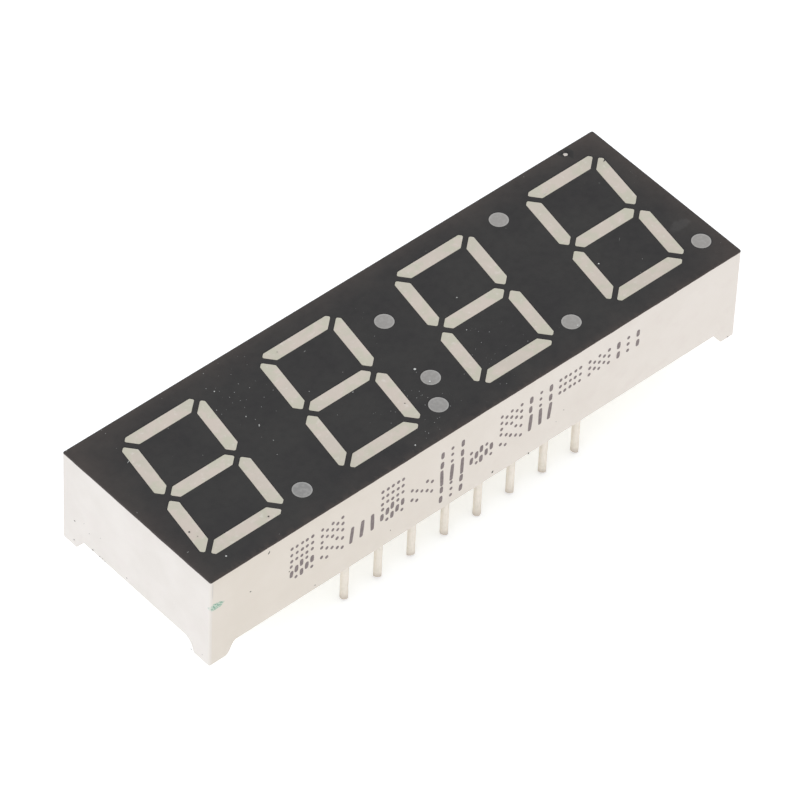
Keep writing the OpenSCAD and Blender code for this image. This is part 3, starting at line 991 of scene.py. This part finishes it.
# Pale dust and fibres on the face: two coordinates on it, length, width, turn in degrees and paleness
DUST = [
    (-10.58, 4.5, 0.09, 0.08, 0, 0.8), (-17.75, 3.46, 0.26, 0.035, 25, 0.8),
    (-10.46, 1.89, 0.11, 0.06, 40, 0.6), (-10.33, 0.9, 0.2, 0.07, 50, 0.6),
    (-10.46, -0.48, 0.07, 0.06, 0, 0.5), (-11.0, -1.43, 0.06, 0.06, 0, 0.4),
    (-18.14, -5.42, 0.11, 0.1, 0, 0.9), (-10.15, 5.96, 0.07, 0.05, 0, 0.5),
    (-11.42, 3.33, 0.06, 0.05, 0, 0.6), (-11.4, 2.9, 0.05, 0.05, 0, 0.4),
    (-6.45, 1.09, 0.07, 0.05, 0, 0.5), (-4.59, -0.53, 0.08, 0.07, 0, 0.7),
    (-0.71, -1.42, 0.15, 0.14, 0, 1.0), (-4.58, -5.84, 0.13, 0.08, 50, 0.8),
    (-3.39, -5.63, 0.06, 0.05, 0, 0.5), (-2.59, -5.23, 0.05, 0.05, 0, 0.5),
    (-1.73, -3.2, 0.07, 0.05, 0, 0.4), (-4.61, 3.61, 0.16, 0.03, 10, 0.5),
    (4.88, 1.27, 0.09, 0.08, 0, 0.7), (3.6, -1.0, 0.08, 0.07, 0, 0.6),
    (12.98, -1.92, 0.1, 0.09, 0, 1.0), (15.25, -1.23, 0.3, 0.03, 40, 0.2),
    (17.45, 2.9, 0.14, 0.08, 60, 0.12), (8.74, -4.78, 0.1, 0.08, 0, 1.0),
    (14.4, 4.3, 0.35, 0.03, 20, 1.0), (14.75, 4.47, 0.3, 0.03, 50, 1.0),
    (-0.69, -2.68, 0.13, 0.12, 0, 0.9), (-19.58, -3.85, 0.15, 0.05, 10, 0.3),
    (-19.85, 0.2, 0.1, 0.05, 60, 0.3), (-19.88, 6.3, 0.08, 0.07, 0, 0.4),
    (-17.37, 5.93, 0.06, 0.05, 0, 0.4), (-17.38, 6.26, 0.06, 0.06, 0, 0.3),
    (-14.24, 1.18, 0.05, 0.04, 0, 0.4), (-13.97, 0.46, 0.05, 0.04, 0, 0.4),
]


def build_grit():
    """Dark specks on the walls and the segments."""
    grains = Sheet()
    for surface, x, y, length, width, turn in GRIT:
        spot(grains, surface, x, y, length, width, turn)
    dark = dull("dark_grit", (0.03, 0.03, 0.025), (0.09, 0.08, 0.07), 0.05, 0.7)
    grains.piece("dark_grit", dark, "face", solid=False)


def dust_finish():
    """Dust from nearly black to pale, by each speck's own paleness."""
    f = Finish("pale_dust", roughness=0.8, specular=0.1)
    pale = f.times(f.mark(), f.ramp(f.noise(0.06, 3.0), 0.3, 0.7, 0.75, 1.0))
    f.colour(f.mixed(pale, (0.02, 0.02, 0.02), (0.7, 0.7, 0.68)))
    return f.material


def build_dust():
    """Pale specks and fibres on the face."""
    dust = Sheet()
    for x, y, length, width, turn, paleness in DUST:
        spot(dust, ON_FACE, x, y, length, width, turn, mark=paleness)
    dust.piece("pale_dust", dust_finish(), "face", solid=False)


PIN_METAL = pin_metal()
build_housing()
build_coat()
for light in SEGMENTS:
    build_light(light, MILKY, "segment")
for light in DOTS:
    build_light(light, GREY, "dot")
for number in range(len(PINS)):
    build_pin(number)
build_potting()
build_print()
build_grit()
build_dust()

# The pieces inside stay as the CAD part has them, and only get a material
INSIDE = {
    BOARD: dull("board_resin", (0.03, 0.12, 0.05), (0.05, 0.16, 0.07), 0.8),
    "board_copper": metal("board_copper", (0.85, 0.5, 0.28), (0.6, 0.35, 0.2), 0.35),
    "led_chips": dull("led_chip", (0.75, 0.5, 0.1), (0.6, 0.38, 0.08), 0.1, 0.3),
    "bond_wires": metal("bond_gold", (0.95, 0.72, 0.3), (0.85, 0.6, 0.25), 0.25, 0.05),
    "solder_joints": metal("solder", (0.72, 0.73, 0.74), (0.55, 0.56, 0.57), 0.35, 0.2),
}
for name, material in INSIDE.items():
    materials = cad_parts[name].data.materials
    materials.clear()
    materials.append(material)


# ---- Floor, light and camera ----

# From here on lengths are in metres. The floor lies a hair below the pins' tips.
FLOOR = cad_low[2] - 0.00002
FLOOR_REACH = 1.5


def build_floor():
    """A large square sheet under the part."""
    mesh = bpy.data.meshes.new("floor")
    corners = [(i * FLOOR_REACH, j * FLOOR_REACH, FLOOR) for i, j in CORNERS]
    mesh.from_pydata(corners, [], [(0, 1, 2, 3)])
    mesh.materials.append(paper())
    floor = bpy.data.objects.new("floor", mesh)
    bpy.context.scene.collection.objects.link(floor)


def soft_light(name, place, size, power, tint):
    """A round area light that faces the part."""
    lamp = bpy.data.lights.new(name, "AREA")
    lamp.shape = "DISK"
    lamp.size = size
    lamp.energy = power
    lamp.color = tint
    made = bpy.data.objects.new(name, lamp)
    made.location = place
    made.rotation_euler = (-Vector(place)).to_track_quat("-Z", "Y").to_euler()
    bpy.context.scene.collection.objects.link(made)


def build_world():
    """Even, slightly warm light from all round."""
    world = bpy.data.worlds.new("studio")
    world.use_nodes = True
    background = world.node_tree.nodes["Background"]
    background.inputs["Color"].default_value = (1.0, 0.985, 0.965, 1)
    background.inputs["Strength"].default_value = 0.87
    bpy.context.scene.world = world
    bpy.context.scene.view_settings.view_transform = "Standard"


# The photo's camera, fitted to the body's corners and pins and then moved a little to line up the lights:
# its place, and its turns in degrees
CAMERA_PLACE = (-0.183466, -0.19412, 0.287013)
CAMERA_TURNS = (43.188, -1.823, -41.3785)
FOCAL_LENGTH = 306.49
SENSOR_WIDTH = 36.0


def build_camera():
    """A long lens at the photo's viewing angle."""
    lens = bpy.data.cameras.new("camera")
    lens.lens = FOCAL_LENGTH
    lens.sensor_width = SENSOR_WIDTH
    lens.clip_start = 0.01
    lens.clip_end = 10.0
    camera = bpy.data.objects.new("camera", lens)
    camera.location = CAMERA_PLACE
    camera.rotation_euler = [math.radians(a) for a in CAMERA_TURNS]
    bpy.context.scene.collection.objects.link(camera)
    bpy.context.scene.camera = camera


build_floor()
soft_light("window_left", (-0.35, -0.05, 0.3), 0.7, 0.98, (0.64, 0.8, 1.0))
build_world()
build_camera()
